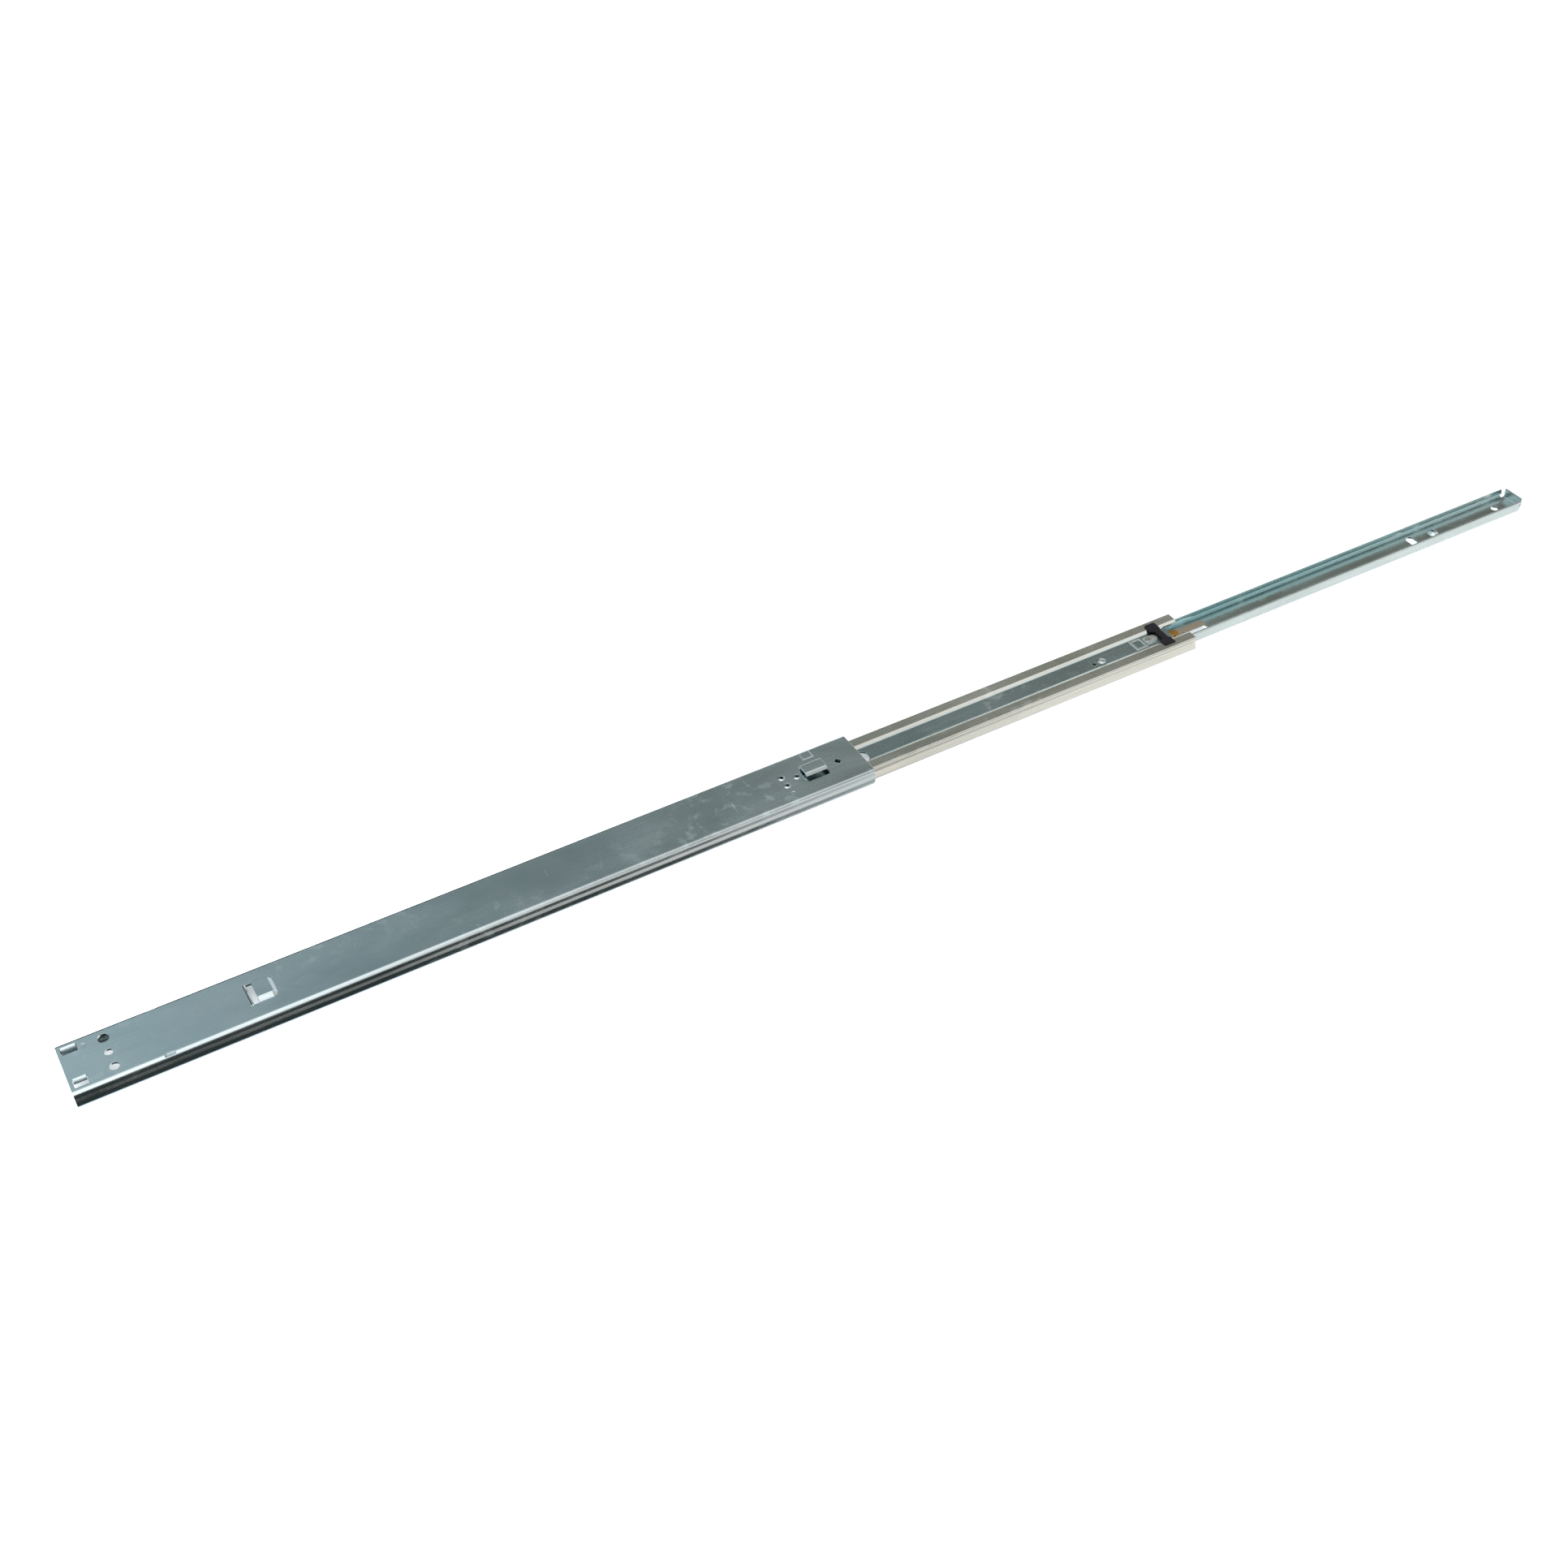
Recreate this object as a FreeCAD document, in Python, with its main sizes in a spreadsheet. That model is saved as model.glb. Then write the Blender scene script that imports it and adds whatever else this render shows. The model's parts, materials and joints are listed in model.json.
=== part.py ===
import FreeCAD, Part

# Cabinet drawer slide: three telescoping steel members on ball bearings, built fully pulled out.
# Frame: the origin is the centre of the cabinet member's mounting face. +X is the pull-out direction,
# +Z points out of the mounting face, towards the cabinet side, and +Y is across the slide.

import math
import os

import Sketcher

V = FreeCAD.Vector

# ---------------------------------------------------------------- driving dimensions, millimetres

DIMENSIONS = {
    # cabinet member
    "cabinet_length": 558.8,
    "cabinet_height": 45.7,
    "side_space": 12.7,
    "cabinet_gauge": 1.5,
    "flange_bulge": 0.6,
    "hook_height": 3.6,
    "rear_hole_inset": 28.0,
    "rear_hole_pitch": 13.0,
    "upper_hole_diameter": 7.4,
    "centre_hole_diameter": 5.4,
    "lower_hole_diameter": 6.4,
    # middle member
    "middle_length": 540.0,
    "middle_gauge": 1.3,
    "middle_height": 36.5,
    "middle_top_depth": 2.4,
    "trough_depth": 1.8,
    "middle_bottom_depth": 12.4,
    "trough_setback": 12.5,
    "closed_setback": 2.8,
    "middle_travel": 283.4,
    # drawer member
    "drawer_length": 530.0,
    "drawer_gauge": 1.2,
    "drawer_base_depth": 12.2,
    "drawer_rim_depth": 4.35,
    "drawer_travel": 327.8,
    "front_hole_inset": 15.7,
    "front_hole_diameter": 6.0,
    "slot_inset": 101.5,
    "slot_length": 12.0,
    "slot_width": 7.0,
    # ball bearings
    "ball_diameter": 4.76,
    "ball_clearance": 0.03,
    "ball_row_depth": 7.4,
    "ball_pitch": 13.0,
    "cage_gauge": 0.8,
    "outer_cage_length": 222.0,
    "inner_cage_length": 183.0,
    # release lever
    "lever_gauge": 1.0,
    "lever_width": 6.0,
    "lever_top_depth": 7.4,
    "lever_pin_diameter": 4.0,
    "lever_pin_setback": 7.5,
}


def make_sheet(doc):
    """The spreadsheet that every sub-part reads its sizes from."""
    sheet = doc.addObject("Spreadsheet::Sheet", "Dimensions")
    for row, (name, value) in enumerate(DIMENSIONS.items(), start=1):
        sheet.set("A%d" % row, name)
        sheet.set("B%d" % row, str(value))
        sheet.setAlias("B%d" % row, name)
    doc.recompute()
    return sheet


doc = FreeCAD.newDocument("drawer_slide")
sheet = make_sheet(doc)


def dim(name):
    """The value of one driving dimension."""
    return float(sheet.get(name))


# Where each member starts and ends along X, in the fully pulled-out pose.
CABINET_START = "-Dimensions.cabinet_length / 2"
cabinet_start = -dim("cabinet_length") / 2
middle_front = -cabinet_start - dim("closed_setback") + dim("middle_travel")
drawer_front = middle_front + dim("drawer_travel")
drawer_start = drawer_front - dim("drawer_length")
MIDDLE_FRONT = "Dimensions.cabinet_length / 2 - Dimensions.closed_setback + Dimensions.middle_travel"
MIDDLE_START = MIDDLE_FRONT + " - Dimensions.middle_length"
DRAWER_START = MIDDLE_FRONT + " + Dimensions.drawer_travel - Dimensions.drawer_length"

ball_radius = dim("ball_diameter") / 2
row_z = -dim("ball_row_depth")


# ---------------------------------------------------------------- sheet-metal outlines

def unit(vector):
    return vector * (1.0 / vector.Length)


def left_of(direction):
    """The unit vector a quarter turn to the left of a direction in the sketch plane."""
    return V(-direction.y, direction.x, 0)


def side_line(path, bends, shift):
    """The edges of a bent path moved sideways by shift: lines, with an arc at each bend."""
    edges = []
    directions = [unit(path[i + 1] - path[i]) for i in range(len(path) - 1)]
    here = path[0] + left_of(directions[0]) * shift
    for i, radius in enumerate(bends):
        before, after = directions[i], directions[i + 1]
        turn = math.atan2(before.x * after.y - before.y * after.x, before.dot(after))
        tangent = radius * math.tan(abs(turn) / 2)
        side = 1 if turn > 0 else -1
        centre = path[i + 1] - before * tangent + left_of(before) * (side * radius)
        arc_radius = radius - side * shift
        start = centre - left_of(before) * (side * arc_radius)
        end = centre - left_of(after) * (side * arc_radius)
        middle = centre - unit(left_of(before) + left_of(after)) * (side * arc_radius)
        edges.append(Part.LineSegment(here, start))
        edges.append(Part.Arc(start, middle, end))
        here = end
    edges.append(Part.LineSegment(here, path[-1] + left_of(directions[-1]) * shift))
    return edges


def strip_outline(path, bends, gauge):
    """The closed outline of a strip of sheet of one gauge, bent along a path of its mid line."""
    left = side_line(path, bends, gauge / 2)
    right = side_line(path, bends, -gauge / 2)
    cap_end = Part.LineSegment(left[-1].EndPoint, right[-1].EndPoint)
    cap_start = Part.LineSegment(right[0].StartPoint, left[0].StartPoint)
    return left + [cap_end] + right + [cap_start]


def mirrored_path(half):
    """A whole path from its +Y half, which starts on the centre line."""
    return [V(-p.x, p.y, 0) for p in reversed(half[1:])] + half[1:]


def mirrored_bends(half):
    return list(reversed(half)) + list(half)


# ---------------------------------------------------------------- PartDesign helpers

def make_body(name, start_x=None):
    """An empty body whose Label names its file, placed along X by an expression."""
    body = doc.addObject("PartDesign::Body", name)
    body.Label = name
    if start_x:
        body.setExpression("Placement.Base.x", start_x)
    return body


def plane(body, role):
    return [f for f in body.Origin.OriginFeatures if f.Role == role][0]


def new_sketch(body, role, offset=0.0):
    """A sketch on one of the body's own origin planes, moved along the plane's normal."""
    sketch = body.newObject("Sketcher::SketchObject", body.Name + "_sketch")
    sketch.AttachmentSupport = [(plane(body, role), "")]
    sketch.MapMode = "FlatFace"
    sketch.AttachmentOffset = FreeCAD.Placement(V(0, 0, offset), FreeCAD.Rotation())
    return sketch


def add_outline(sketch, edges):
    for edge in edges:
        sketch.addGeometry(edge, False)


def add_rectangle(sketch, x_low, y_low, x_high, y_high):
    corners = [V(x_low, y_low, 0), V(x_high, y_low, 0), V(x_high, y_high, 0), V(x_low, y_high, 0)]
    add_outline(sketch, [Part.LineSegment(corners[i], corners[(i + 1) % 4]) for i in range(4)])


def add_circle(sketch, x, y, diameter, size=None):
    """A circle, its diameter bound to a driving dimension when size names one."""
    index = sketch.addGeometry(Part.Circle(V(x, y, 0), V(0, 0, 1), diameter / 2), False)
    number = sketch.addConstraint(Sketcher.Constraint("Diameter", index, diameter))
    if size:
        sketch.setExpression("Constraints[%d]" % number, "Dimensions." + size)


def add_slot(sketch, x, y, length, width):
    """An obround hole whose long way runs along Y."""
    reach = (length - width) / 2
    half = width / 2
    right_low, right_high = V(x + half, y - reach, 0), V(x + half, y + reach, 0)
    left_low, left_high = V(x - half, y - reach, 0), V(x - half, y + reach, 0)
    add_outline(sketch, [
        Part.LineSegment(right_low, right_high),
        Part.Arc(right_high, V(x, y + length / 2, 0), left_high),
        Part.LineSegment(left_high, left_low),
        Part.Arc(left_low, V(x, y - length / 2, 0), right_low),
    ])


def add_rounded_rectangle(sketch, x_low, y_low, x_high, y_high, radius):
    """A rectangle with a round corner at each end of each side."""
    middle = radius * (1 - math.sqrt(0.5))
    edges = []
    corners = ((x_low, y_low, 1, 1), (x_high, y_low, -1, 1), (x_high, y_high, -1, -1), (x_low, y_high, 1, -1))
    for i, (x, y, right, up) in enumerate(corners):
        beside = V(x + right * radius, y, 0)
        above = V(x, y + up * radius, 0)
        turn = V(x + right * middle, y + up * middle, 0)
        start, end = (above, beside) if i % 2 == 0 else (beside, above)
        edges.append(Part.Arc(start, turn, end))
    for i in range(4):
        add_outline(sketch, [edges[i], Part.LineSegment(edges[i].EndPoint, edges[(i + 1) % 4].StartPoint)])


def add_dome(body, x, y, level, radius, height):
    """A round dome of sheet pressed up from a level; its foot sinks a little so that it joins on."""
    sink = 0.15
    height += sink
    ball = (radius ** 2 + height ** 2) / (2 * height)
    dome = body.newObject("PartDesign::AdditiveSphere", body.Name + "_dome")
    dome.Radius = ball
    dome.Angle1 = math.degrees(math.asin((ball - height) / ball))
    dome.Placement = FreeCAD.Placement(V(x, y, level - sink + height - ball), FreeCAD.Rotation())
    doc.recompute()


def pad(body, sketch, length, size=None, midplane=False):
    feature = body.newObject("PartDesign::Pad", body.Name + "_pad")
    feature.Profile = sketch
    feature.Length = length
    feature.Midplane = midplane
    if size:
        feature.setExpression("Length", "Dimensions." + size)
    doc.recompute()
    return feature


def pocket(body, sketch, length=None, reverse=False, taper=0.0):
    """A cut that must remove material; without a length it goes through everything both ways."""
    volume = body.Shape.Volume
    feature = body.newObject("PartDesign::Pocket", body.Name + "_pocket")
    feature.Profile = sketch
    if length is None:
        feature.Type = "ThroughAll"
        feature.Midplane = True
    else:
        feature.Length = length
        feature.TaperAngle = taper
    feature.Reversed = reverse
    doc.recompute()
    if not body.Shape.Volume < volume:
        raise RuntimeError("a pocket in %s removes nothing" % body.Label)
    return feature


def bent_pad(body, role, path, bends, gauge, width, offset=0.0):
    """A bent strip of sheet added to a body, its width centred on the sketch plane."""
    sketch = new_sketch(body, role, offset)
    add_outline(sketch, strip_outline(path, bends, gauge))
    return pad(body, sketch, width, midplane=True)


def channel(name, start_x, half_path, half_bends, gauge, length_size):
    """A roll-formed channel: one bent section, extruded along the slide."""
    body = make_body(name, start_x)
    sketch = new_sketch(body, "YZ_Plane")
    path = mirrored_path(half_path)
    add_outline(sketch, strip_outline(path, mirrored_bends(half_bends), gauge))
    pad(body, sketch, dim(length_size), length_size)
    return body


def coin_races(body, y, radius):
    """A shallow ball race rolled into both flanges, over the member's whole length."""
    for side in (-1, 1):
        sketch = new_sketch(body, "YZ_Plane")
        add_circle(sketch, side * y, row_z, 2 * radius)
        pocket(body, sketch)


# ---------------------------------------------------------------- ball-row layout across the slide

# The groove in each flange is an arc; the mid line's apex sets where the balls run.
groove_bend = 3.2                          # mid-line bend radius of the middle member's grooves
groove_corner = 15.75                      # where the mid line's two straight runs would meet
groove_apex = groove_corner + 0.28
outer_row = groove_apex + dim("middle_gauge") / 2 + ball_radius + dim("ball_clearance")

drawer_bend = 3.15
drawer_corner = 9.65
drawer_apex = drawer_corner + 0.25
inner_row = drawer_apex + dim("drawer_gauge") / 2 + ball_radius + dim("ball_clearance")


# ---------------------------------------------------------------- cabinet member

def cabinet_section():
    """The +Y half: web, bend, a flange that bulges out round the balls and a lip turned in below."""
    gauge = dim("cabinet_gauge")
    crest = dim("cabinet_height") / 2 - gauge / 2
    wall = crest - dim("flange_bulge")
    rise = 2.7                             # how far above and below the ball row the bulge starts
    lip_bottom = -dim("side_space") + 0.42
    path = [V(0, -gauge / 2, 0), V(wall, -gauge / 2, 0), V(wall, row_z + rise, 0), V(crest + 0.04, row_z, 0),
            V(wall, row_z - rise, 0), V(wall, -10.9, 0), V(20.6, lip_bottom, 0)]
    return path, [2.0, 2.0, 1.6, 1.6, 0.9]


def cut_front_window(body, front_hook):
    sketch = new_sketch(body, "XY_Plane")
    add_rectangle(sketch, front_hook - 8.5, -8.8, front_hook + 8.5, 5.4)
    pocket(body, sketch)


def add_front_hook(body, front_hook):
    """A long hook lanced out of the web: a far wall, a flat top and a near edge rolled down."""
    top = dim("hook_height") - dim("cabinet_gauge") / 2
    base = -dim("cabinet_gauge") / 2
    path = [V(9.0, base, 0), V(6.2, base, 0), V(5.2, top, 0), V(-3.0, top, 0), V(-4.5, 0.9, 0)]
    bent_pad(body, "YZ_Plane", path, [1.0, 1.0, 1.7], dim("cabinet_gauge"), 16.4, front_hook)


def add_rear_hook(body, rear_hook):
    """A hook drawn up out of the web like a cup, hollow below and cut open towards the rear."""
    rise, slope = 3.0, -36.0
    gauge = dim("cabinet_gauge")
    outer = new_sketch(body, "XY_Plane", -0.2)
    add_rounded_rectangle(outer, rear_hook - 8.0, -8.7, rear_hook + 8.2, 9.6, 3.4)
    pad(body, outer, rise + 0.2).TaperAngle = slope
    doc.recompute()
    inner = new_sketch(body, "XY_Plane", -gauge)
    add_rounded_rectangle(inner, rear_hook - 8.2, -7.4, rear_hook + 6.9, 8.3, 3.4)
    pocket(body, inner, rise, reverse=True, taper=slope)
    mouth = new_sketch(body, "XY_Plane")
    add_rectangle(mouth, rear_hook - 8.2, -9.0, rear_hook - 4.6, 9.9)
    pocket(body, mouth)
    base = -gauge / 2
    rim = [V(rear_hook - 12.6, base, 0), V(rear_hook - 9.9, base, 0), V(rear_hook - 8.6, 0.4, 0)]
    bent_pad(body, "XZ_Plane", rim, [0.9], gauge, 18.9, -0.45)


def add_rear_tabs(body):
    """Two windows at the rear end, each with a tab bent down from its far edge to stop the middle member."""
    base = -dim("cabinet_gauge") / 2
    reach = 2.6                            # how far down and across each tab's mid line runs
    for x_low, x_high, y_low, y_high in ((2.2, 12.2, 11.6, 18.2), (2.5, 11.3, -18.2, -10.2)):
        sketch = new_sketch(body, "XY_Plane")
        add_rectangle(sketch, x_low, y_low, x_high, y_high)
        pocket(body, sketch)
        tab = [V(y_high + 1.6, base, 0), V(y_high + 0.2, base, 0), V(y_high - 1.2, base - reach, 0)]
        middle = (x_low + x_high) / 2
        bent_pad(body, "YZ_Plane", tab, [0.9], dim("cabinet_gauge"), x_high - x_low - 0.6, middle)


def drill_cabinet_holes(body):
    sketch = new_sketch(body, "XY_Plane")
    holes = [("upper_hole_diameter", 1), ("centre_hole_diameter", 0), ("lower_hole_diameter", -1)]
    for size, step in holes:
        add_circle(sketch, dim("rear_hole_inset"), step * dim("rear_hole_pitch"), dim(size), size)
    pocket(body, sketch)


def pierce_front(body, length):
    """Three small collared holes behind the front hook, a square hole ahead of it and a coined pad."""
    small_holes = ((length - 59.6, 4.0), (length - 59.9, -4.9), (length - 49.7, -0.2))
    for x, y in small_holes:
        collar = new_sketch(body, "XY_Plane", -0.1)
        add_circle(collar, x, y, 5.2)
        pad(body, collar, 0.8).TaperAngle = -42.0
    raised = new_sketch(body, "XY_Plane", -0.1)
    add_rectangle(raised, length - 37.6, 12.2, length - 29.0, 19.8)
    pad(body, raised, 0.7).TaperAngle = -45.0
    doc.recompute()
    holes = new_sketch(body, "XY_Plane")
    for x, y in small_holes:
        add_circle(holes, x, y, 2.8)
    half, x, y = 2.8, length - 17.2, -0.4
    corners = [V(x + half, y, 0), V(x, y + half, 0), V(x - half, y, 0), V(x, y - half, 0)]
    add_outline(holes, [Part.LineSegment(corners[i], corners[(i + 1) % 4]) for i in range(4)])
    pocket(body, holes)


def crimp_flanges(body):
    """A short crimp in each bend near the rear end, which stops the ball cages."""
    edge = dim("cabinet_height") / 2 - dim("flange_bulge")
    for side in (-1, 1):
        sketch = new_sketch(body, "XY_Plane")
        add_slot_along(sketch, 60.0, side * (edge - 1.1), 7.0, 3.0)
        pocket(body, sketch, 1.2)


def dimple_web(body, length):
    """Two shallow round marks left by the press, one near each end."""
    sketch = new_sketch(body, "XY_Plane")
    add_circle(sketch, 15.6, 13.4, 3.6)
    add_circle(sketch, length - 59.5, -13.4, 3.0)
    pocket(body, sketch, 0.25)


def add_slot_along(sketch, x, y, length, width):
    """An obround whose long way runs along X."""
    reach = (length - width) / 2
    half = width / 2
    low_left, low_right = V(x - reach, y - half, 0), V(x + reach, y - half, 0)
    high_left, high_right = V(x - reach, y + half, 0), V(x + reach, y + half, 0)
    add_outline(sketch, [
        Part.LineSegment(low_left, low_right),
        Part.Arc(low_right, V(x + length / 2, y, 0), high_right),
        Part.LineSegment(high_right, high_left),
        Part.Arc(high_left, V(x - length / 2, y, 0), low_left),
    ])


def make_cabinet_channel():
    path, bends = cabinet_section()
    body = channel("cabinet_channel", CABINET_START, path, bends, dim("cabinet_gauge"), "cabinet_length")
    coin_races(body, outer_row, 2.56)
    length = dim("cabinet_length")
    front_hook = length - 36.2
    rear_hook = 125.4
    drill_cabinet_holes(body)
    cut_front_window(body, front_hook)
    add_front_hook(body, front_hook)
    add_rear_hook(body, rear_hook)
    add_rear_tabs(body)
    pierce_front(body, length)
    crimp_flanges(body)
    dimple_web(body, length)
    return body


# ---------------------------------------------------------------- middle member

def middle_section():
    """The +Y half: sunken trough, raised ridge, and a flange bent round the outer balls."""
    gauge = dim("middle_gauge")
    ridge = -dim("middle_top_depth") - gauge / 2
    trough = ridge - dim("trough_depth")
    wall = dim("middle_height") / 2 - gauge / 2
    lip = wall - 0.2
    path = [V(0, trough, 0), V(6.7, trough, 0), V(9.5, ridge, 0), V(wall, ridge, 0),
            V(groove_corner, row_z, 0), V(lip, -11.3, 0), V(lip, -dim("middle_bottom_depth"), 0)]
    return path, [0.9, 0.9, 1.1, groove_bend, 0.9]


def make_middle_channel():
    path, bends = middle_section()
    body = channel("middle_channel", MIDDLE_START, path, bends, dim("middle_gauge"), "middle_length")
    coin_races(body, inner_row, 2.6)
    cut_middle_web(body)
    emboss_middle_web(body)
    add_stop_lug(body)
    return body


def cut_middle_web(body):
    """The trough's front notch, an access hole and the small round holes."""
    length = dim("middle_length")
    sketch = new_sketch(body, "XY_Plane")
    add_rectangle(sketch, length - dim("trough_setback"), -7.2, length + 1.0, 7.2)
    add_circle(sketch, length - 279.6, -1.6, 12.0)
    add_circle(sketch, length - 81.3, -1.8, 2.8)
    add_circle(sketch, length - 31.5, 0.0, 3.0)
    add_circle(sketch, 7.0, 0.0, 4.0)
    pocket(body, sketch)


def emboss_middle_web(body):
    """A dome beside the small hole in the trough and a rectangular bead behind the guide."""
    length = dim("middle_length")
    trough_top = -dim("middle_top_depth") - dim("trough_depth")
    add_dome(body, length - 74.3, -1.8, trough_top, 3.5, 1.2)
    low_x, high_x, low_y, high_y, width = length - 45.0, length - 34.4, -5.8, 6.2, 2.4
    bars = ((low_x, low_y, low_x + width, high_y), (high_x - width, low_y, high_x, high_y),
            (low_x, low_y, high_x, low_y + width), (low_x, high_y - width, high_x, high_y))
    for bar in bars:
        bead = new_sketch(body, "XY_Plane", trough_top - 0.1)
        add_rectangle(bead, *bar)
        pad(body, bead, 0.8).TaperAngle = -45.0
    doc.recompute()


def add_stop_lug(body):
    """A lug bent down from the trough's front edge, which the release lever's ear runs up against."""
    edge = dim("middle_length") - dim("trough_setback")
    level = -dim("middle_top_depth") - dim("trough_depth") - dim("middle_gauge") / 2
    path = [V(edge - 5.0, level, 0), V(edge - 0.7, level, 0), V(edge - 0.7, -7.0, 0)]
    bent_pad(body, "XZ_Plane", path, [0.7], 1.2, 2.0, -5.6)


def make_rear_bumper():
    """A rubber block plugged into the trough's rear end, which the drawer member closes against."""
    body = make_body("rear_bumper", MIDDLE_START)
    underside = -dim("middle_top_depth") - dim("trough_depth") - dim("middle_gauge")
    sketch = new_sketch(body, "XY_Plane", underside)
    add_rectangle(sketch, 2.0, -6.2, 9.4, 6.2)
    block = pad(body, sketch, 5.3)
    block.Reversed = True
    plug = new_sketch(body, "XY_Plane", underside - 0.5)
    add_circle(plug, 7.0, 0.0, 3.9)
    pad(body, plug, dim("middle_gauge") + 1.3)
    return body


# ---------------------------------------------------------------- guide at the middle member's front

def guide_level():
    return -dim("middle_top_depth") - dim("trough_depth")


def make_guide_plate():
    """A steel tongue on the trough floor that carries the plastic guide; its tip is rounded."""
    body = make_body("guide_plate", MIDDLE_START)
    length = dim("middle_length")
    sketch = new_sketch(body, "XY_Plane", guide_level())
    tail, tip, half = length - 34.0, length - 27.2, 3.7
    add_outline(sketch, [
        Part.LineSegment(V(tail, -half, 0), V(tip, -half, 0)),
        Part.Arc(V(tip, -half, 0), V(tip + half, 0, 0), V(tip, half, 0)),
        Part.LineSegment(V(tip, half, 0), V(tail, half, 0)),
        Part.LineSegment(V(tail, half, 0), V(tail, -half, 0)),
    ])
    pad(body, sketch, 0.9)
    hole = new_sketch(body, "XY_Plane", guide_level())
    add_circle(hole, length - 31.5, 0.0, 3.0)
    pocket(body, hole)
    return body


def make_guide_rivet():
    """A small steel rivet with a hollow head, through the tongue and the trough."""
    body = make_body("guide_rivet", MIDDLE_START)
    x = dim("middle_length") - 31.5
    bottom = guide_level() - dim("middle_gauge")
    for level, diameter, height in ((bottom, 2.96, dim("middle_gauge") + 0.9), (bottom - 0.4, 4.4, 0.4),
                                    (guide_level() + 0.9, 4.6, 0.6)):
        sketch = new_sketch(body, "XY_Plane", level)
        add_circle(sketch, x, 0.0, diameter)
        pad(body, sketch, height)
    dimple = new_sketch(body, "XY_Plane", guide_level() + 1.5)
    add_circle(dimple, x, 0.0, 2.4)
    pocket(body, dimple, 1.4)
    return body


def make_plastic_guide():
    """The black guide: a bridge across the trough with a thin pad lying on each ridge."""
    body = make_body("plastic_guide", MIDDLE_START)
    length = dim("middle_length")
    front = length - 16.2
    ridge = -dim("middle_top_depth")
    waist_rear, waist_front = front - 6.0, front - 1.2
    bridge = new_sketch(body, "XY_Plane", guide_level())
    add_rectangle(bridge, waist_rear, -6.2, waist_front, 6.2)
    pad(body, bridge, dim("trough_depth"))
    pads = new_sketch(body, "XY_Plane", ridge)
    inner, outer, tail = 5.4, 13.4, front - 9.4
    near_inner = 7.6
    corners = [(front, -outer), (front, -near_inner), (waist_front, -near_inner + 1.4),
               (waist_front, inner - 1.4), (front, inner), (front, outer), (tail + 1.2, outer), (tail, outer - 1.4), (tail, inner),
               (waist_rear, inner - 1.8), (waist_rear, -near_inner + 1.8), (tail, -near_inner),
               (tail, -outer + 1.4), (tail + 1.2, -outer)]
    points = [V(x, y, 0) for x, y in corners]
    add_outline(pads, [Part.LineSegment(start, end) for start, end in zip(points, points[1:] + points[:1])])
    pad(body, pads, 0.55)
    return body


# ---------------------------------------------------------------- drawer member

def drawer_section():
    """The +Y half: web at the bottom and a flange bent round the inner balls."""
    gauge = dim("drawer_gauge")
    base = -dim("drawer_base_depth") + gauge / 2
    path = [V(0, base, 0), V(11.2, base, 0), V(drawer_corner, row_z, 0), V(10.75, -dim("drawer_rim_depth"), 0)]
    return path, [1.0, drawer_bend]


def make_drawer_channel():
    path, bends = drawer_section()
    body = channel("drawer_channel", DRAWER_START, path, bends, dim("drawer_gauge"), "drawer_length")
    cut_drawer_web(body)
    add_drawer_boss(body)
    add_end_tab(body)
    return body


def lever_x():
    """The release lever's pivot, measured from the drawer member's rear end."""
    return dim("drawer_length") - dim("drawer_travel") - dim("lever_pin_setback")


def cut_drawer_web(body):
    """Fixing holes, the finger window in front of the lever's pivot and the pivot hole."""
    length = dim("drawer_length")
    sketch = new_sketch(body, "XY_Plane")
    size = "front_hole_diameter"
    add_circle(sketch, length - dim("front_hole_inset"), 0.0, dim(size), size)
    add_slot(sketch, length - dim("slot_inset"), 0.0, dim("slot_length"), dim("slot_width"))
    add_rectangle(sketch, lever_x() + 8.5, -5.5, lever_x() + 30.9, 5.5)
    add_circle(sketch, lever_x(), 0.0, dim("lever_pin_diameter") + 0.04)
    add_circle(sketch, 30.0, 0.0, dim(size), size)
    pocket(body, sketch)


def add_drawer_boss(body):
    """A round dome pressed up from the web, with a hole through it."""
    x = dim("drawer_length") - 80.2
    floor = -dim("drawer_base_depth") + dim("drawer_gauge")
    add_dome(body, x, 0.0, floor, 4.6, 2.4)
    hole = new_sketch(body, "XY_Plane")
    add_circle(hole, x, 0.0, 3.2)
    pocket(body, hole)


def add_end_tab(body):
    """The web runs on past the flanges and turns up into the end tab."""
    length = dim("drawer_length")
    gauge = dim("drawer_gauge")
    base = -dim("drawer_base_depth") + gauge / 2
    path = [V(length - 6.0, base, 0), V(length + 3.3, base, 0), V(length + 3.3, -4.1, 0)]
    bent_pad(body, "XZ_Plane", path, [1.6], gauge, 17.6)


# ---------------------------------------------------------------- release lever

def make_release_lever():
    """A flat lever along the drawer member, with a stop ear at the rear and a turned-down front end."""
    body = make_body("release_lever", DRAWER_START)
    gauge = dim("lever_gauge")
    level = -dim("lever_top_depth") - gauge / 2
    front, rear = lever_x() + 27.9, lever_x() - 11.5
    path = [V(rear, level, 0), V(front, level, 0), V(front + 0.9, -10.4, 0)]
    bent_pad(body, "XZ_Plane", path, [0.9], gauge, dim("lever_width"))
    ear_front = lever_x() + dim("lever_pin_setback") - dim("trough_setback") - 0.7 - 0.6 - 0.35
    ear = new_sketch(body, "XY_Plane", -dim("lever_top_depth") - gauge)
    add_rectangle(ear, ear_front - 3.6, 2.0, ear_front, 6.3)
    pad(body, ear, 2.2)
    hole = new_sketch(body, "XY_Plane")
    add_circle(hole, lever_x(), 0.0, dim("lever_pin_diameter") + 0.1)
    pocket(body, hole)
    return body


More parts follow.
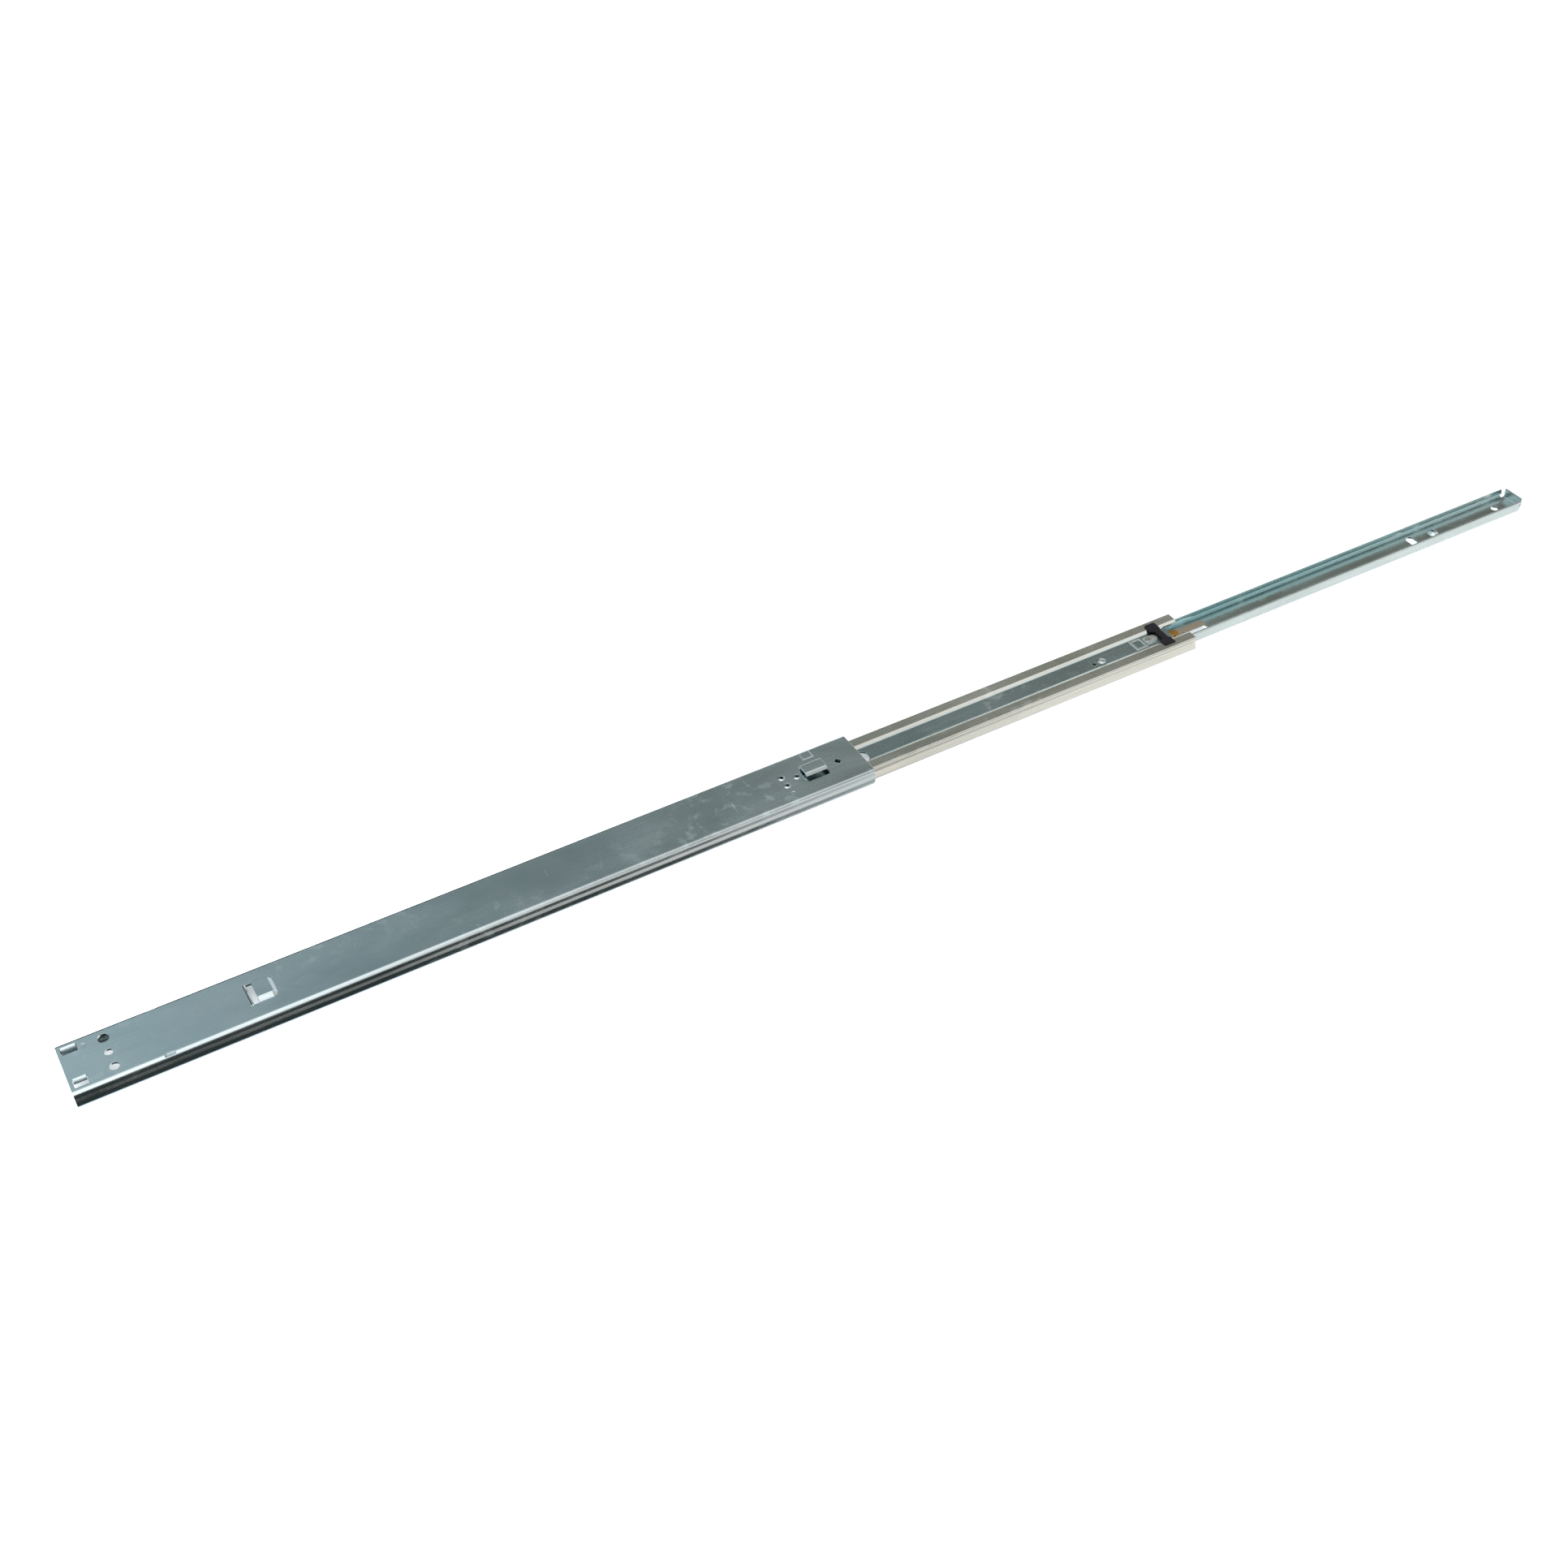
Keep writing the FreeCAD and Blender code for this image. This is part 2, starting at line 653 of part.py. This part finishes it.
def make_lever_pivot():
    """The brass shoulder rivet that the lever turns on, fixed in the drawer member's web."""
    body = make_body("lever_pivot", DRAWER_START)
    floor = -dim("drawer_base_depth") + dim("drawer_gauge")
    lever_bottom = -dim("lever_top_depth") - dim("lever_gauge")
    pin = dim("lever_pin_diameter")
    steps = ((-dim("drawer_base_depth"), pin, dim("drawer_base_depth") - dim("lever_top_depth") + 0.05),
             (floor, 5.8, lever_bottom - 0.05 - floor),
             (-dim("lever_top_depth") + 0.05, 8.2, 0.8))
    for level, diameter, height in steps:
        sketch = new_sketch(body, "XY_Plane", level)
        add_circle(sketch, lever_x(), 0.0, diameter)
        feature = pad(body, sketch, height)
    feature.TaperAngle = -30.0
    doc.recompute()
    return body


def make_lever_spring():
    """A torsion spring round the pivot's shoulder: a swept helix, which no PartDesign feature fits."""
    wire, radius, turns, rise = 0.3, 3.5, 2.5, 0.66
    floor = -dim("drawer_base_depth") + dim("drawer_gauge")
    helix = Part.makeHelix(rise, rise * turns, radius)
    start = Part.Circle(V(radius, 0, 0), V(0, 1, rise / (2 * math.pi * radius)), wire)
    coil = Part.Wire(helix).makePipeShell([Part.Wire(start.toShape())], True, True)
    spring = doc.addObject("Part::Feature", "lever_spring")
    spring.Label = "lever_spring"
    spring.Shape = coil
    centre = V(drawer_start + lever_x(), 0, floor + wire + 0.05)
    spring.Placement = FreeCAD.Placement(centre, FreeCAD.Rotation())
    return spring


# ---------------------------------------------------------------- ball cages and balls

def ball_count(length):
    return int((length - 8.0) / dim("ball_pitch")) + 1


def make_cage(name, start, length_size, y, top, bottom):
    """A strip that spaces one row of balls: a flat band with a round pocket for each ball."""
    body = make_body(name, str(start))
    length = dim(length_size)
    body.Placement.Base.y = y
    sketch = new_sketch(body, "XZ_Plane")
    add_rectangle(sketch, 0.0, bottom, length, top)
    pad(body, sketch, dim("cage_gauge"), "cage_gauge", midplane=True)
    count = ball_count(length)
    first = (length - (count - 1) * dim("ball_pitch")) / 2
    holes = new_sketch(body, "XZ_Plane")
    for i in range(count):
        add_circle(holes, first + i * dim("ball_pitch"), row_z, dim("ball_diameter") + 0.3)
    pocket(body, holes)
    return body


def make_ball_row(name, start, length_size, y):
    """One row of separate steel balls, spaced by the cage's pitch."""
    length = dim(length_size)
    count = ball_count(length)
    first = start + (length - (count - 1) * dim("ball_pitch")) / 2
    balls = [Part.makeSphere(ball_radius, V(first + i * dim("ball_pitch"), y, row_z)) for i in range(count)]
    row = doc.addObject("Part::Feature", name)
    row.Label = name
    row.Shape = Part.makeCompound(balls)
    return row


def make_bearings():
    """Both cages of each pair, and their balls; each pair travels half as far as its member."""
    outer_start = -cabinet_start - 22.0 - dim("outer_cage_length")
    inner_start = middle_front - 14.0 - dim("inner_cage_length")
    made = []
    for side, word in ((1, "upper"), (-1, "lower")):
        made.append(make_cage("outer_cage_" + word, outer_start, "outer_cage_length", side * outer_row,
                              -3.1, -11.5))
        made.append(make_ball_row("outer_balls_" + word, outer_start, "outer_cage_length", side * outer_row))
        made.append(make_cage("inner_cage_" + word, inner_start, "inner_cage_length", side * inner_row,
                              -4.6, -11.2))
        made.append(make_ball_row("inner_balls_" + word, inner_start, "inner_cage_length", side * inner_row))
    return made


# ---------------------------------------------------------------- build, check, export

def check(objects):
    for thing in doc.Objects:
        if "Invalid" in thing.State or "Error" in thing.State:
            raise RuntimeError("%s did not recompute" % thing.Label)
    for thing in objects:
        if thing.Shape.isNull() or not thing.Shape.isValid() or not thing.Shape.Solids:
            raise RuntimeError("%s has no valid solid" % thing.Label)


def main():
    makers = (make_cabinet_channel, make_middle_channel, make_rear_bumper, make_guide_plate, make_guide_rivet,
              make_plastic_guide, make_drawer_channel, make_release_lever, make_lever_pivot, make_lever_spring)
    parts = [maker() for maker in makers] + make_bearings()
    doc.recompute()
    check(parts)
    os.makedirs("parts", exist_ok=True)
    for thing in parts:
        thing.Shape.exportStep(os.path.join("parts", thing.Label + ".step"))
        box = thing.Shape.BoundBox
        print("%-20s solids %2d volume %9.1f  x %8.2f %8.2f  y %7.2f %7.2f  z %7.2f %7.2f" % (
            thing.Label, len(thing.Shape.Solids), thing.Shape.Volume, box.XMin, box.XMax, box.YMin, box.YMax,
            box.ZMin, box.ZMax))


main()
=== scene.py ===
"""The drawer slide's looks: zinc-plated sheet, plastic, brass and rubber, in soft studio light."""
import json
import math

import bpy
from mathutils import Euler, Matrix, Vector


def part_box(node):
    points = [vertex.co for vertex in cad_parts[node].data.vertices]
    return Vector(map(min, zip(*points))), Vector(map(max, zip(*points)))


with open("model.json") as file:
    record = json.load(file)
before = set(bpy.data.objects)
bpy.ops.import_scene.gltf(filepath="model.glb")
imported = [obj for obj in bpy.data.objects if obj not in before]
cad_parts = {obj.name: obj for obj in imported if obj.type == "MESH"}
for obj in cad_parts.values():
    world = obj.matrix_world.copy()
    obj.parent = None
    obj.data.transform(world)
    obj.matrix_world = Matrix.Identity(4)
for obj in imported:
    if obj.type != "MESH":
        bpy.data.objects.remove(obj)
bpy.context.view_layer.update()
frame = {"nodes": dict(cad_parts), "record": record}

scene = bpy.context.scene

# Lengths are in metres: X is the way that the slide pulls out, and Z is up.
CABINET_LOW, CABINET_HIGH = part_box("cabinet_channel")
DRAWER_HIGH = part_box("drawer_channel")[1]
RUN_START = CABINET_HIGH[0] * 2                # about at the middle member's front end
RUN_END = DRAWER_HIGH[0]

TROUGH_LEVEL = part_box("guide_plate")[0][2]     # the plate lies on the trough's floor
TROUGH_HALF = 0.0081                           # from the centre line to halfway up the trough's side
TROUGH_BLEND = 0.001
TROUGH_RISE = 0.0008

FAR_WALL_START = DRAWER_HIGH[1] * 0.62         # the far flange of the drawer member, across the slide
FAR_WALL_FULL = DRAWER_HIGH[1] * 0.72
FACING_FULL, FACING_NONE = -0.55, -0.10        # the normal's Y, on a face turned towards the near side


# ---------------------------------------------------------------- node helpers

def socket(sockets, identifier):
    """The socket of a Mix node that has this identifier, because several share a name."""
    return next(s for s in sockets if s.identifier == identifier)


class Nodes:
    """A node tree, with short calls for the nodes used here."""

    def __init__(self, tree, coordinates):
        self.tree = tree
        self.place = self.new("ShaderNodeTexCoord").outputs[coordinates]

    def new(self, kind):
        return self.tree.nodes.new(kind)

    def link(self, output, target):
        self.tree.links.new(output, target)

    def put(self, target, value):
        """Give a socket a link, a colour or a number."""
        if isinstance(value, bpy.types.NodeSocket):
            self.link(value, target)
        elif isinstance(value, tuple):
            target.default_value = (*value, 1)
        else:
            target.default_value = value

    def parts(self, vector):
        """The X, Y and Z outputs that a vector splits into."""
        node = self.new("ShaderNodeSeparateXYZ")
        self.link(vector, node.inputs["Vector"])
        return node.outputs

    def ramp(self, value, stops):
        """A colour ramp: stops are (position, colour or grey level)."""
        node = self.new("ShaderNodeValToRGB")
        ramp = node.color_ramp
        while len(ramp.elements) < len(stops):
            ramp.elements.new(0.5)
        for element, (position, level) in zip(ramp.elements, stops):
            element.position = position
            element.color = (*level, 1) if isinstance(level, tuple) else (level, level, level, 1)
        self.link(value, node.inputs["Fac"])
        return node.outputs["Color"]

    def mix(self, factor, first, second):
        node = self.new("ShaderNodeMix")
        node.data_type = "RGBA"
        self.put(node.inputs["Factor"], factor)
        self.put(socket(node.inputs, "A_Color"), first)
        self.put(socket(node.inputs, "B_Color"), second)
        return socket(node.outputs, "Result_Color")

    def math(self, operation, first, second=0.0):
        node = self.new("ShaderNodeMath")
        node.operation = operation
        self.put(node.inputs[0], first)
        self.put(node.inputs[1], second)
        return node.outputs[0]

    def scaled(self, value, low, high, start=0.0, stop=1.0, smooth=False):
        """A value taken from start..stop to low..high, and held at the ends."""
        node = self.new("ShaderNodeMapRange")
        node.interpolation_type = "SMOOTHSTEP" if smooth else "LINEAR"
        for name, number in (("From Min", start), ("From Max", stop), ("To Min", low), ("To Max", high)):
            node.inputs[name].default_value = number
        self.link(value, node.inputs["Value"])
        return node.outputs["Result"]


class Shader(Nodes):
    """A material and its node tree, in object coordinates."""

    def __init__(self, name):
        self.material = bpy.data.materials.new(name)
        self.material.use_nodes = True
        super().__init__(self.material.node_tree, "Object")
        self.bsdf = self.tree.nodes["Principled BSDF"]

    def stretched(self, scale, turn=0.0):
        """Object coordinates turned about Z and stretched along each axis, for grain and scratches."""
        node = self.new("ShaderNodeMapping")
        node.inputs["Scale"].default_value = scale
        node.inputs["Rotation"].default_value = (0, 0, math.radians(turn))
        self.link(self.place, node.inputs["Vector"])
        return node.outputs["Vector"]

    def noise(self, scale, detail, vector=None, distortion=0.0):
        node = self.new("ShaderNodeTexNoise")
        node.inputs["Scale"].default_value = scale
        node.inputs["Detail"].default_value = detail
        node.inputs["Distortion"].default_value = distortion
        self.link(vector or self.place, node.inputs["Vector"])
        return node.outputs["Fac"]

    def rounded_edges(self, radius):
        """The surface normal as if every sharp edge had a small radius."""
        node = self.new("ShaderNodeBevel")
        node.samples = 4
        node.inputs["Radius"].default_value = radius
        return node.outputs["Normal"]

    def near_edge(self, rounded):
        """1 on a rounded edge and 0 on the flat, from how far the rounded normal leans from the true one."""
        node = self.new("ShaderNodeVectorMath")
        node.operation = "DOT_PRODUCT"
        self.link(rounded, node.inputs[0])
        self.link(self.normal(), node.inputs[1])
        return self.scaled(node.outputs["Value"], 1.0, 0.0, 0.75, 0.98)

    def normal(self):
        return self.new("ShaderNodeNewGeometry").outputs["Normal"]

    def bump(self, height, strength, distance, base):
        """Relief from a height, laid over the normal that it starts from."""
        node = self.new("ShaderNodeBump")
        node.inputs["Strength"].default_value = strength
        node.inputs["Distance"].default_value = distance
        self.link(height, node.inputs["Height"])
        self.link(base, node.inputs["Normal"])
        return node.outputs["Normal"]

    def finish(self, tone, rough, normal, metallic):
        """Give the surface its colour, roughness and relief, and hand back the material."""
        self.link(tone, self.bsdf.inputs["Base Color"])
        self.link(rough, self.bsdf.inputs["Roughness"])
        self.link(normal, self.bsdf.inputs["Normal"])
        self.bsdf.inputs["Metallic"].default_value = metallic
        return self.material


# ---------------------------------------------------------------- materials

EDGE_RADIUS = 0.00042        # larger than a sheared edge really has, so that edges catch the light
SMALL_EDGE_RADIUS = EDGE_RADIUS * 0.5

# How many times each pattern repeats in a metre, roughly. A noise's level is mostly between 0.3 and 0.7, so
# a mark that starts near the top of that range is sparse.
ROLLED_GRAIN = 1100.0
PASSIVATION_CLOUDS = 26.0
WATER_MARKS = 90.0
MARK_CLUSTERS = 9.0
SCUFFS = 320.0
TARNISH = 500.0
SPARK_GRAIN = 2600.0
BLOOM = 240.0

SCUFF_SLANT = 28.0           # degrees
SCUFF_TONE = (0.86, 0.88, 0.87)
WORN_TONE = (0.88, 0.89, 0.87)


def shade(color, factor):
    """A colour made deeper or paler, no brighter than white."""
    return tuple(min(1.0, c * factor) for c in color)


def water_marks(shader):
    """Dried water marks, where a slower pattern lets them gather."""
    clusters = shader.scaled(shader.noise(MARK_CLUSTERS, 1.0), 0.0, 1.0, 0.46, 0.62)
    blots = shader.noise(WATER_MARKS, 5.0, distortion=0.4)
    spots = shader.ramp(blots, [(0.54, 0.0), (0.64, 1.0), (0.80, 0.4)])
    return shader.math("MULTIPLY", spots, clusters)


def slanting_scuffs(shader):
    """Short thin scuffs, all slanting the same way."""
    streaks = shader.noise(SCUFFS, 3.0, shader.stretched((1.0, 0.16, 1.0), SCUFF_SLANT))
    return shader.ramp(streaks, [(0.70, 0.0), (0.76, 1.0)])


def patched(shader, tone, mask, rear, front):
    """A tone with a deeper blue painted in where the mask is 1, changing from the rear to the front."""
    run = shader.scaled(shader.parts(shader.place)["X"], 0.0, 1.0, RUN_START, RUN_END)
    return shader.mix(mask(shader), tone, shader.mix(run, rear, front))


def zinc(name, bright, dull, roughness, patch=None):
    """Zinc-plated sheet: rolled grain along X, cloudy passivation, dried water marks, scuffs, worn edges.

    A patch is a mask-making function and the deeper blues painted there, at the rear and the front.
    """
    shader = Shader(name)
    grain = shader.noise(ROLLED_GRAIN, 4.0, shader.stretched((0.02, 1.0, 1.0)))
    cloud = shader.noise(PASSIVATION_CLOUDS, 5.0, shader.stretched((0.55, 1.0, 1.0)), 0.5)
    marks = water_marks(shader)
    scuffs = slanting_scuffs(shader)
    rounded = shader.rounded_edges(EDGE_RADIUS)
    tone = shader.mix(shader.scaled(cloud, 0.0, 1.0, 0.32, 0.68), dull, bright)
    tone = shader.mix(shader.scaled(grain, 0.0, 0.22, 0.35, 0.70), tone, shade(bright, 0.72))
    if patch:
        tone = patched(shader, tone, *patch)
    tone = shader.mix(shader.scaled(marks, 0.0, 0.30), tone, shade(bright, 1.3))
    tone = shader.mix(shader.scaled(scuffs, 0.0, 0.25), tone, SCUFF_TONE)
    tone = shader.mix(shader.scaled(shader.near_edge(rounded), 0.0, 0.6), tone, WORN_TONE)
    rough = shader.scaled(cloud, roughness - 0.05, roughness + 0.05, 0.3, 0.7)
    rough = shader.math("ADD", rough, shader.scaled(grain, -0.04, 0.05, 0.3, 0.7))
    rough = shader.math("ADD", rough, shader.scaled(marks, 0.0, 0.10))
    rough = shader.math("ADD", rough, shader.scaled(scuffs, 0.0, 0.12))
    relief = shader.bump(grain, 0.10, 0.00002, rounded)
    return shader.finish(tone, rough, shader.bump(cloud, 0.25, 0.00012, relief), metallic=1.0)


def plain_metal(name, color, roughness):
    """A small turned or stamped metal piece, with faint tarnish and a worn edge."""
    shader = Shader(name)
    cloud = shader.noise(TARNISH, 4.0)
    rounded = shader.rounded_edges(SMALL_EDGE_RADIUS)
    tone = shader.mix(shader.scaled(cloud, 0.0, 0.6, 0.35, 0.70), color, shade(color, 0.62))
    tone = shader.mix(shader.scaled(shader.near_edge(rounded), 0.0, 0.5), tone, shade(color, 1.3))
    rough = shader.scaled(cloud, roughness - 0.05, roughness + 0.10, 0.3, 0.7)
    return shader.finish(tone, rough, shader.bump(cloud, 0.15, 0.00002, rounded), metallic=1.0)


def moulded(name, color, roughness):
    """Moulded plastic or rubber: spark-eroded grain, faint bloom and softened edges."""
    shader = Shader(name)
    grain = shader.noise(SPARK_GRAIN, 2.0)
    bloom = shader.noise(BLOOM, 3.0)
    rounded = shader.rounded_edges(EDGE_RADIUS)
    tone = shader.mix(shader.scaled(bloom, 0.0, 0.5, 0.4, 0.8), color, shade(color, 2.0))
    rough = shader.scaled(bloom, roughness - 0.06, roughness + 0.10, 0.3, 0.7)
    shader.bsdf.inputs["Specular IOR Level"].default_value = 0.12
    return shader.finish(tone, rough, shader.bump(grain, 0.25, 0.00003, rounded), metallic=0.0)


def in_trough(shader):
    """1 on the floor of the middle member's trough."""
    place = shader.parts(shader.place)
    aside = shader.math("ABSOLUTE", place["Y"])
    inside = shader.scaled(aside, 1.0, 0.0, TROUGH_HALF - TROUGH_BLEND, TROUGH_HALF)
    low = shader.scaled(place["Z"], 1.0, 0.0, TROUGH_LEVEL, TROUGH_LEVEL + TROUGH_RISE)
    return shader.math("MULTIPLY", inside, low)


def on_far_wall(shader):
    """1 on the inner face of the drawer member's far flange, where it faces the near side; a deeper blue is
    painted there.
    """
    beyond = shader.scaled(shader.parts(shader.place)["Y"], 0.0, 1.0, FAR_WALL_START, FAR_WALL_FULL)
    turned = shader.scaled(shader.parts(shader.normal())["Y"], 1.0, 0.0, FACING_FULL, FACING_NONE)
    return shader.math("MULTIPLY", beyond, turned)


# Deeper blues painted on the trough's floor and on the far flange's inner face, darker at the rear.
TROUGH_TONE = (0.42, 0.52, 0.55)
FAR_WALL_REAR = (0.40, 0.63, 0.66)
FAR_WALL_FRONT = (0.62, 0.74, 0.74)

MATERIALS = {
    "zinc_cabinet": zinc("zinc_cabinet", (0.64, 0.73, 0.76), (0.55, 0.64, 0.67), 0.24),
    "zinc_middle": zinc("zinc_middle", (0.72, 0.73, 0.68), (0.62, 0.63, 0.58), 0.24,
                        (in_trough, TROUGH_TONE, TROUGH_TONE)),
    "zinc_drawer": zinc("zinc_drawer", (0.60, 0.70, 0.71), (0.52, 0.61, 0.62), 0.22,
                        (on_far_wall, FAR_WALL_REAR, FAR_WALL_FRONT)),
    "plate_steel": plain_metal("plate_steel", (0.92, 0.94, 0.92), 0.34),
    "cage_steel": plain_metal("cage_steel", (0.56, 0.58, 0.58), 0.34),
    "ball_steel": plain_metal("ball_steel", (0.80, 0.81, 0.82), 0.10),
    "rivet_steel": plain_metal("rivet_steel", (0.62, 0.64, 0.62), 0.30),
    "lever_steel": plain_metal("lever_steel", (0.72, 0.60, 0.48), 0.36),
    "pivot_brass": plain_metal("pivot_brass", (0.80, 0.43, 0.10), 0.28),
    "black_plastic": moulded("black_plastic", (0.007, 0.006, 0.008), 0.45),
    "bumper_rubber": moulded("bumper_rubber", (0.022, 0.022, 0.022), 0.70),
}


def dress_nodes():
    """Every CAD node gets the finished material of its slot in the record."""
    slots = {row["node"]: row["material_slot"] for row in frame["record"]["subparts"]}
    for node, piece in frame["nodes"].items():
        piece.data.materials.clear()
        piece.data.materials.append(MATERIALS[slots[node]])


# ---------------------------------------------------------------- stage

FLOOR_Z = CABINET_LOW[2] - 0.0002              # a hair under the slide, so the two never share a plane
FLOOR_REACH = 6.0
FLOOR_TONE = (0.76, 0.82, 0.86)
FLOOR_GLOW_TONE = (0.93, 0.97, 1.0)
FLOOR_GLOW = 0.42


def floor_paint():
    """Matt and pale, with a glow that brings it near white, and clear from below."""
    paint = Shader("floor_paint")
    surface = paint.bsdf.inputs
    paint.put(surface["Base Color"], FLOOR_TONE)
    paint.put(surface["Roughness"], 0.9)
    paint.put(surface["Specular IOR Level"], 0.0)
    paint.put(surface["Emission Color"], FLOOR_GLOW_TONE)
    paint.put(surface["Emission Strength"], FLOOR_GLOW)
    either = paint.new("ShaderNodeMixShader")
    paint.link(paint.new("ShaderNodeNewGeometry").outputs["Backfacing"], either.inputs["Fac"])
    paint.link(paint.bsdf.outputs["BSDF"], either.inputs[1])
    paint.link(paint.new("ShaderNodeBsdfTransparent").outputs["BSDF"], either.inputs[2])
    paint.link(either.outputs["Shader"], paint.tree.nodes["Material Output"].inputs["Surface"])
    return paint.material


def make_floor():
    """A plain pale table, clear from below so the underside can be seen, and not mirrored in the metal."""
    mesh = bpy.data.meshes.new("floor")
    corners = [(x * FLOOR_REACH, y * FLOOR_REACH, 0) for x, y in ((-1, -1), (1, -1), (1, 1), (-1, 1))]
    mesh.from_pydata(corners, [], [(0, 1, 2, 3)])
    mesh.materials.append(floor_paint())
    floor = bpy.data.objects.new("floor", mesh)
    floor.location = (0, 0, FLOOR_Z)
    floor.visible_glossy = False
    scene.collection.objects.link(floor)


def softbox(name, place, aim, width, height, power, color=(1, 1, 1)):
    """A rectangular lamp, in watts, that lights the table and the plastic but isn't mirrored in the metal."""
    light = bpy.data.lights.new(name, "AREA")
    light.shape = "RECTANGLE"
    light.size = width
    light.size_y = height
    light.energy = power
    light.color = color
    lamp = bpy.data.objects.new(name, light)
    lamp.location = place
    lamp.rotation_euler = (Vector(aim) - Vector(place)).to_track_quat("-Z", "Y").to_euler()
    lamp.visible_glossy = False
    scene.collection.objects.link(lamp)


# The metal mirrors the slide itself and the studio's own gradient, whose tones are chosen to suit the main
# view. It doesn't mirror the lamps or the table.
# An angle round the slide's axis, in degrees, runs from 0 at the near horizon, up over the top at 90 to the
# far horizon at 180, and below zero under the near horizon. A band's tones change with the X part of a
# direction: 0 on its ramp is TONE_START and 1 is TONE_STOP.
TONE_START, TONE_STOP = -0.4, 0.8
FAR_LOW_TONES = [(0.30, (0.05, 0.045, 0.04)), (0.56, (0.10, 0.09, 0.08)), (0.62, (0.42, 0.42, 0.40)),
                 (0.67, (1.55, 1.58, 1.58))]
WALL_TONES = [(0.00, (0.72, 0.78, 0.80)), (0.18, (0.70, 0.80, 0.83)), (0.33, (0.50, 0.63, 0.66)),
              (0.40, (0.31, 0.39, 0.41)), (0.50, (0.22, 0.265, 0.27)), (0.65, (0.21, 0.23, 0.21)),
              (0.74, (0.26, 0.265, 0.23)), (0.93, (0.14, 0.13, 0.11))]
LINTEL_TONES = [(0.43, (1.10, 1.08, 1.07)), (0.50, (1.00, 0.98, 0.97)), (0.56, (0.32, 0.32, 0.31)),
                (0.66, (0.29, 0.28, 0.26))]
WINDOW_TONES = [(0.43, (1.70, 1.70, 1.70)), (0.50, (1.50, 1.45, 1.42)), (0.56, (0.50, 0.49, 0.48)),
                (0.62, (0.60, 0.58, 0.56)), (0.66, (1.12, 1.14, 1.14))]
SILL_TONES = [(0.43, (1.70, 1.70, 1.70)), (0.50, (0.70, 0.64, 0.60)), (0.56, (0.24, 0.22, 0.21)),
              (0.63, (0.38, 0.34, 0.32)), (0.68, (0.70, 0.69, 0.66))]
STRIPE_TONES = [(0.35, (0.22, 0.20, 0.19)), (0.41, (0.34, 0.31, 0.30)), (0.50, (1.15, 1.02, 0.96)),
                (0.63, (1.02, 0.94, 0.88)), (0.67, (0.93, 0.95, 0.93)), (0.78, (1.22, 1.19, 1.15))]
DARK_TONE = (0.035, 0.042, 0.040)
LIP_TONES = [(0.33, (0.34, 0.52, 0.62)), (0.50, (0.60, 0.72, 0.76)), (0.62, (0.95, 0.98, 0.98))]
# Each band takes over between two angles, coming down from the far horizon.
BANDS = [(156, 144, WALL_TONES), (118, 104, LINTEL_TONES), (92, 82, WINDOW_TONES), (60, 50, SILL_TONES),
         (14, 2, STRIPE_TONES)]
DARK_EDGE = (4, -12)
LIP_EDGE = (-92, -104)
UNDER_EDGE = (-128, -140)
# The dark's edge is lower towards the far end: by so many degrees for each unit of a direction's X part, and
# by so many more once the X part has come from one value to another.
DARK_SLOPE = 70
DARK_DROP = 60
DARK_DROP_RANGE = (0.30, 0.43)


def below(nodes, angle, upper, lower):
    """1 once an angle has come down from the upper to the lower of two, which are in degrees."""
    return nodes.scaled(angle, 1.0, 0.0, math.radians(lower), math.radians(upper), True)


def make_world():
    """Bands round the slide's axis, from the far horizon over the top and down to under the near one."""
    world = bpy.data.worlds.new("studio")
    world.use_nodes = True
    nodes = Nodes(world.node_tree, "Generated")
    direction = nodes.parts(nodes.place)
    along = direction["X"]
    angle = nodes.math("ARCTAN2", direction["Z"], nodes.math("MULTIPLY", direction["Y"], -1.0))
    ramp_place = nodes.scaled(along, 0.0, 1.0, TONE_START, TONE_STOP)
    far_low = nodes.ramp(ramp_place, FAR_LOW_TONES)
    color = far_low
    for upper, lower, tones in BANDS:
        color = nodes.mix(below(nodes, angle, upper, lower), color, nodes.ramp(ramp_place, tones))
    sloped = nodes.math("MULTIPLY", along, math.radians(DARK_SLOPE))
    dropped = nodes.scaled(along, 0.0, math.radians(DARK_DROP), *DARK_DROP_RANGE, smooth=True)
    lifted = nodes.math("ADD", angle, nodes.math("ADD", sloped, dropped))
    color = nodes.mix(below(nodes, lifted, *DARK_EDGE), color, DARK_TONE)
    color = nodes.mix(below(nodes, angle, *LIP_EDGE), color, nodes.ramp(ramp_place, LIP_TONES))
    color = nodes.mix(below(nodes, angle, *UNDER_EDGE), color, far_low)
    nodes.link(color, world.node_tree.nodes["Background"].inputs["Color"])
    scene.world = world


def make_lights():
    middle = (CABINET_HIGH[0] + 0.03, 0, 0)        # of the whole slide, pulled out
    softbox("key", place=(-0.9, 1.6, 1.7), aim=(-0.25, 0, 0), width=1.4, height=1.0, power=30.0,
            color=(0.93, 0.98, 1.0))
    softbox("top", place=(0.2, -0.2, 2.6), aim=middle, width=3.0, height=2.4, power=75.0)


SENSOR_WIDTH = 36.0                            # millimetres, as the lens
LENS = 47.36
CAMERA_PLACE = (-0.2726, -0.9389, 0.9394)
CAMERA_TURN = (48.365, 1.962, -29.409)         # degrees about X, Y and Z


def make_camera():
    camera = bpy.data.cameras.new("camera")
    camera.sensor_width = SENSOR_WIDTH
    camera.lens = LENS
    camera.clip_start = 0.01
    holder = bpy.data.objects.new("camera", camera)
    holder.location = CAMERA_PLACE
    holder.rotation_euler = Euler([math.radians(a) for a in CAMERA_TURN], "XYZ")
    scene.collection.objects.link(holder)
    scene.camera = holder


scene.view_settings.view_transform = "Standard"
dress_nodes()
make_floor()
make_world()
make_lights()
make_camera()
